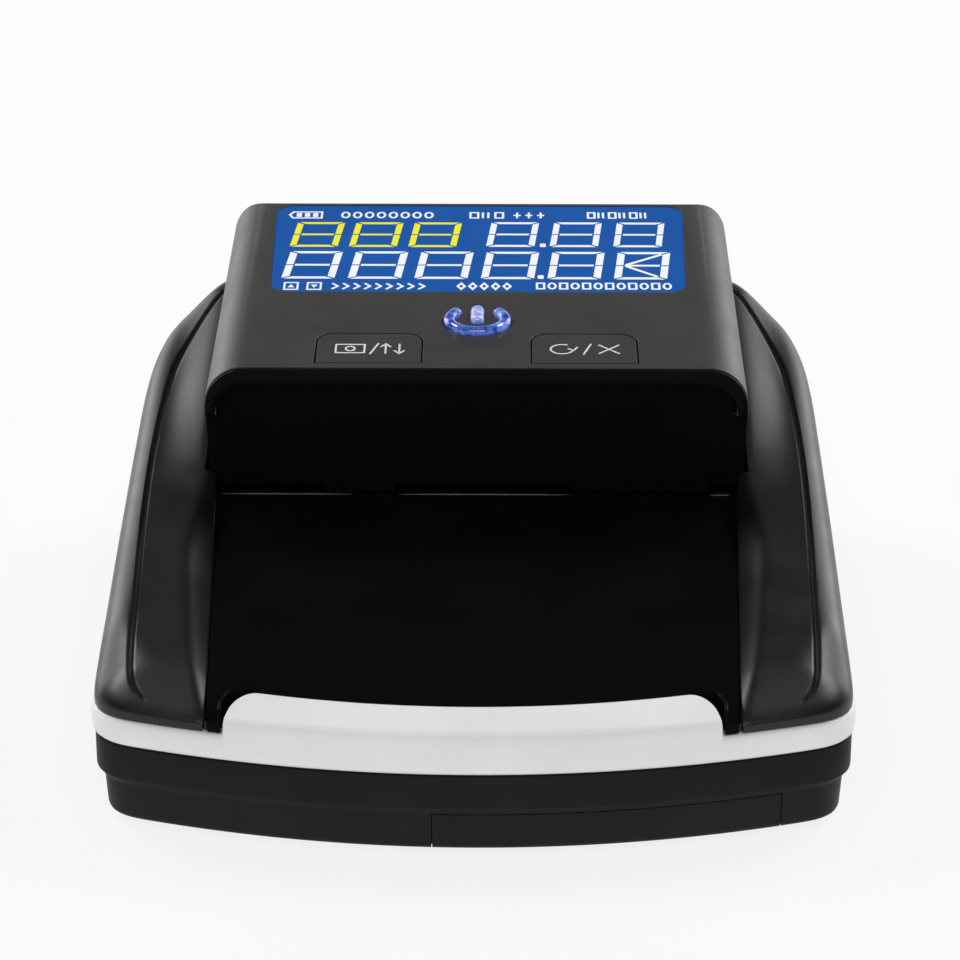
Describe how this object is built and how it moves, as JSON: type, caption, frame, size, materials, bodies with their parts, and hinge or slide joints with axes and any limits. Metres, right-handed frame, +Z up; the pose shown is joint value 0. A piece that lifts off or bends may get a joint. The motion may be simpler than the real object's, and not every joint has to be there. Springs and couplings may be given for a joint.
{
  "type": "counterfeit bill detector",
  "caption": "Counter-top banknote detector: a sloping tray feeds notes under a tilted display head, hinged at the back, with keys, driven rollers and a battery door.",
  "frame": {"origin": "on the surface that the feet stand on, under the middle of the outline", "axes": "+X to the right seen from the front, +Y towards the back where notes come out, +Z up"},
  "size_m": [0.125, 0.15, 0.0645],
  "materials": {
    "case_black": "fine textured black moulding",
    "cover_black": "satin black moulding",
    "tray_black": "polished black moulding",
    "head_grey": "satin dark grey moulding",
    "trim_white": "smooth white moulding",
    "key_grey": "satin dark grey, with a white symbol",
    "key_blue": "clear blue, lit from below",
    "window": "flush clear window",
    "display": "blue segment display",
    "sensor_window": "smoked window",
    "rubber": "matt rubber",
    "steel": "drawn steel",
    "bronze": "sintered bronze",
    "board": "green circuit board",
    "nylon": "white nylon",
    "pack": "shrink-wrapped cells",
    "black_part": "black moulded part"
  },
  "bodies": {
    "chassis": {"lower_case": "case_black", "trim_band": "trim_white", "upper_cover": "cover_black", "note_tray": "tray_black", "rubber_foot_front_left": "rubber", "rubber_foot_front_right": "rubber", "rubber_foot_rear_left": "rubber", "rubber_foot_rear_right": "rubber", "case_screw_front_left": "steel", "case_screw_front_right": "steel", "case_screw_rear_left": "steel", "case_screw_rear_right": "steel", "main_board": "board", "battery_pack": "pack", "drive_motor": "steel", "motor_bracket": "steel", "feed_belt": "rubber", "exit_belt": "rubber", "speaker": "black_part", "dc_jack": "black_part", "update_port": "steel", "encoder_sensor": "black_part", "magnetic_head": "steel", "lower_sensor_window": "sensor_window", "feed_bush_left": "bronze", "feed_bush_right": "bronze", "exit_bush_left": "bronze", "exit_bush_right": "bronze", "hinge_pin_left": "steel", "hinge_pin_right": "steel"},
    "door": {"battery_door": "case_black"},
    "feed_drive": {"feed_shaft": "steel", "feed_roller_left": "rubber", "feed_roller_right": "rubber", "feed_pulley": "nylon"},
    "exit_drive": {"exit_shaft": "steel", "exit_roller_left": "rubber", "exit_roller_right": "rubber", "exit_pulley": "nylon", "encoder_disc": "black_part"},
    "motor_rotor": {"motor_pulley": "nylon"},
    "head": {"head_cover": "head_grey", "head_fascia": "tray_black", "upper_guide": "tray_black", "upper_sensor_window": "sensor_window", "display_window": "window", "lcd_panel": "display", "display_board": "board"},
    "feed_idler": {"feed_idler_shaft": "steel", "feed_idler_roller_left": "rubber", "feed_idler_roller_right": "rubber"},
    "exit_idler": {"exit_idler_shaft": "steel", "exit_idler_roller_left": "rubber", "exit_idler_roller_right": "rubber"},
    "power_button": {"power_key": "key_blue"},
    "left_button": {"left_key": "key_grey"},
    "right_button": {"right_key": "key_grey"}
  },
  "joints": [
    {"name": "head_hinge", "type": "hinge", "parent": "chassis", "child": "head", "pos_m": [0, 0.066, 0.043], "axis": [-1, 0, 0], "range_deg": [0, 70]},
    {"name": "battery_door_slide", "type": "slide", "parent": "chassis", "child": "door", "axis": [0, -1, 0], "range_m": [0, 0.04]},
    {"name": "feed_turn", "type": "hinge", "parent": "chassis", "child": "feed_drive", "pos_m": [0, 0.008, 0.02415], "axis": [1, 0, 0], "continuous": true},
    {"name": "exit_turn", "type": "hinge", "parent": "chassis", "child": "exit_drive", "pos_m": [0, 0.056, 0.02511], "axis": [1, 0, 0], "continuous": true},
    {"name": "motor_turn", "type": "hinge", "parent": "chassis", "child": "motor_rotor", "pos_m": [0, 0.032, 0.0145], "axis": [1, 0, 0], "continuous": true},
    {"name": "feed_idler_turn", "type": "hinge", "parent": "head", "child": "feed_idler", "pos_m": [0, 0.008, 0.03845], "axis": [1, 0, 0], "continuous": true},
    {"name": "exit_idler_turn", "type": "hinge", "parent": "head", "child": "exit_idler", "pos_m": [0, 0.056, 0.03941], "axis": [1, 0, 0], "continuous": true},
    {"name": "power_key_press", "type": "slide", "parent": "head", "child": "power_button", "axis": [0, 0.0793, -0.9968], "range_m": [0, 0.0008], "stiffness_N_per_m": 300},
    {"name": "left_key_press", "type": "slide", "parent": "head", "child": "left_button", "axis": [0, 0.0793, -0.9968], "range_m": [0, 0.0008], "stiffness_N_per_m": 300},
    {"name": "right_key_press", "type": "slide", "parent": "head", "child": "right_button", "axis": [0, 0.0793, -0.9968], "range_m": [0, 0.0008], "stiffness_N_per_m": 300}
  ],
  "couplings": [
    {"joint": "exit_turn", "follows": "feed_turn", "ratio": 1},
    {"joint": "motor_turn", "follows": "feed_turn", "ratio": 1.6667},
    {"joint": "feed_idler_turn", "follows": "feed_turn", "ratio": -1.8},
    {"joint": "exit_idler_turn", "follows": "feed_turn", "ratio": -1.8}
  ]
}
